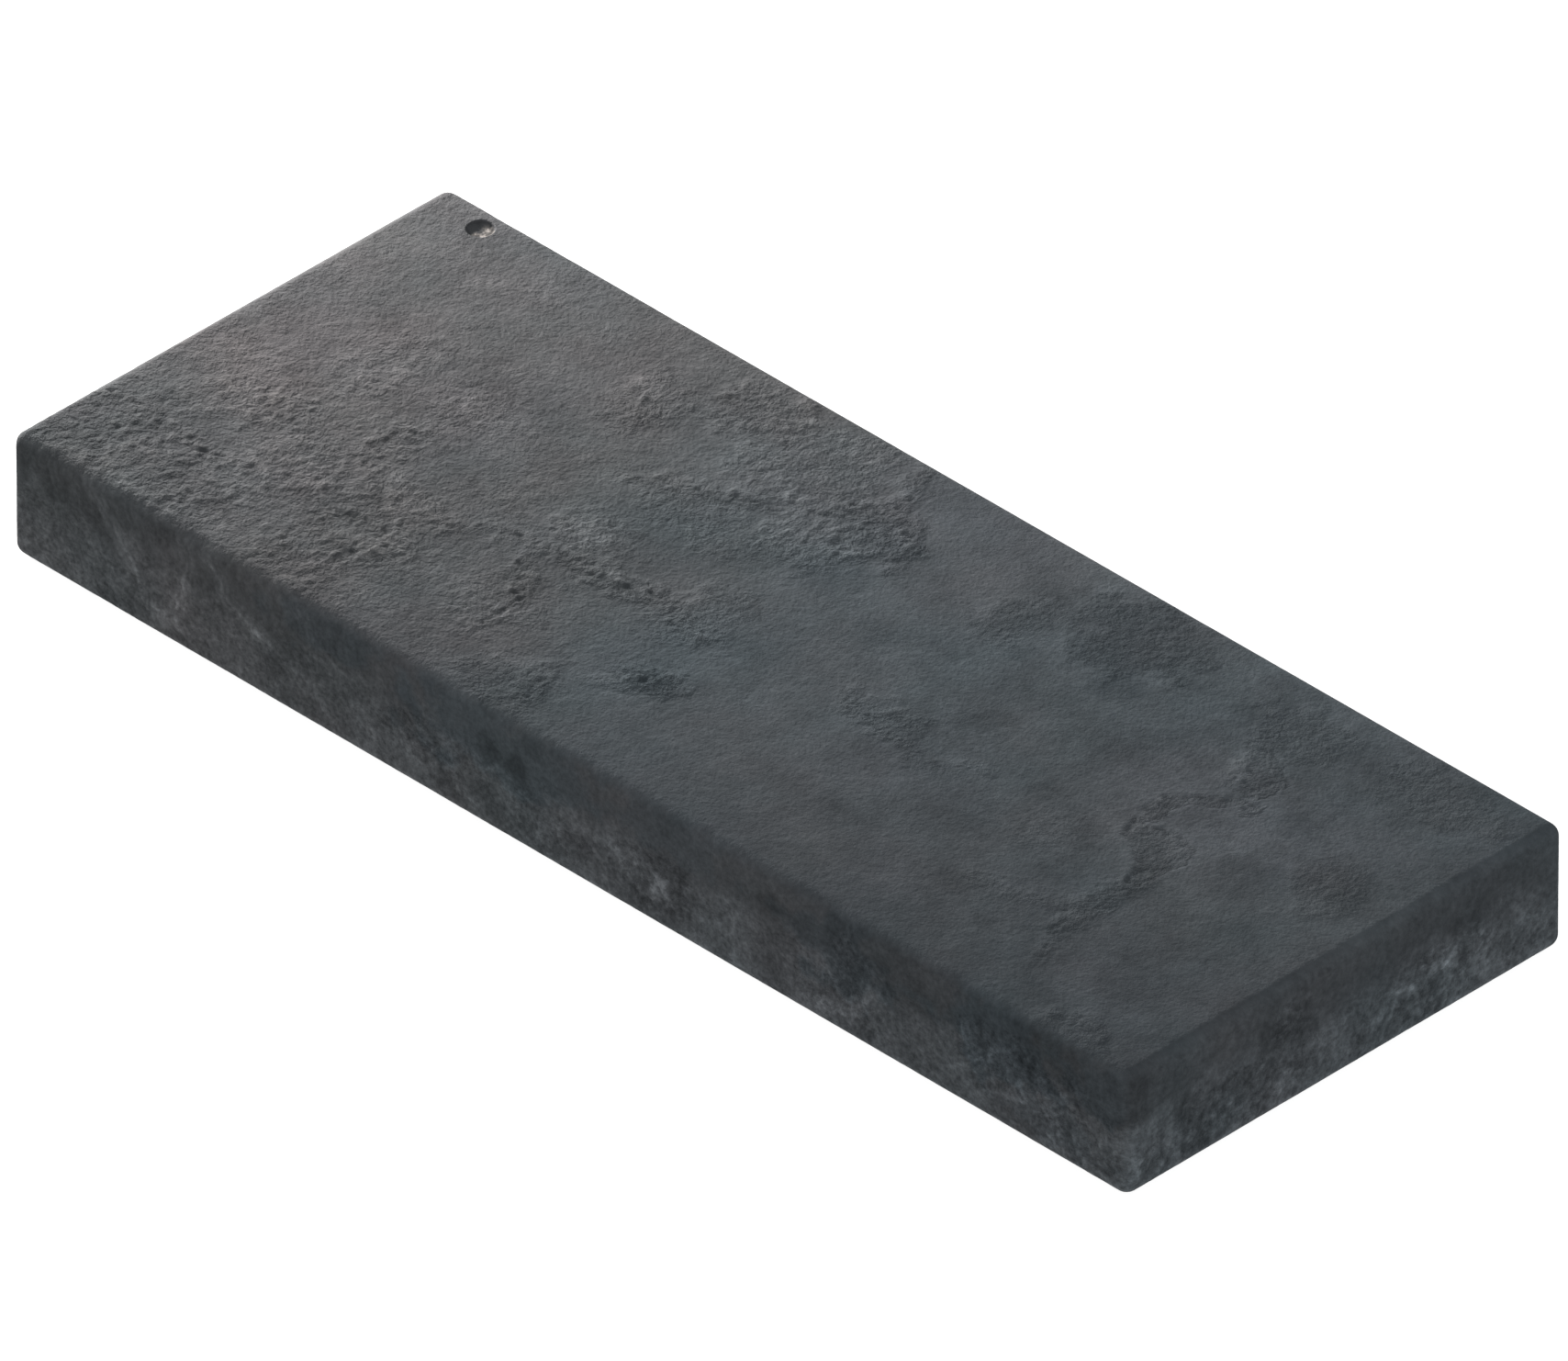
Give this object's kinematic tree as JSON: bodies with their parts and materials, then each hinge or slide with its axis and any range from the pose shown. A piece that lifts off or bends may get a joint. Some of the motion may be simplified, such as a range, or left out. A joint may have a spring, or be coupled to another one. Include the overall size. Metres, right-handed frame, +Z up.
{
  "type": "bench sharpening whetstone",
  "caption": "Rectangular natural slate bench stone for honing edge tools, with softened edges and a small blind marking dimple in a corner of its honing face.",
  "frame": {"origin": "centre of the slab's resting face, at the bottom", "axes": "+X along the stone's length, away from the end with the marking dimple; +Y across the stone, towards the side with the dimple; +Z up, out of the honing face"},
  "size_m": [0.204, 0.08, 0.0192],
  "materials": {
    "slate": "dark grey slate with a fine riven grain, satin"
  },
  "bodies": {
    "root": {"stone_slab": "slate"}
  },
  "joints": []
}
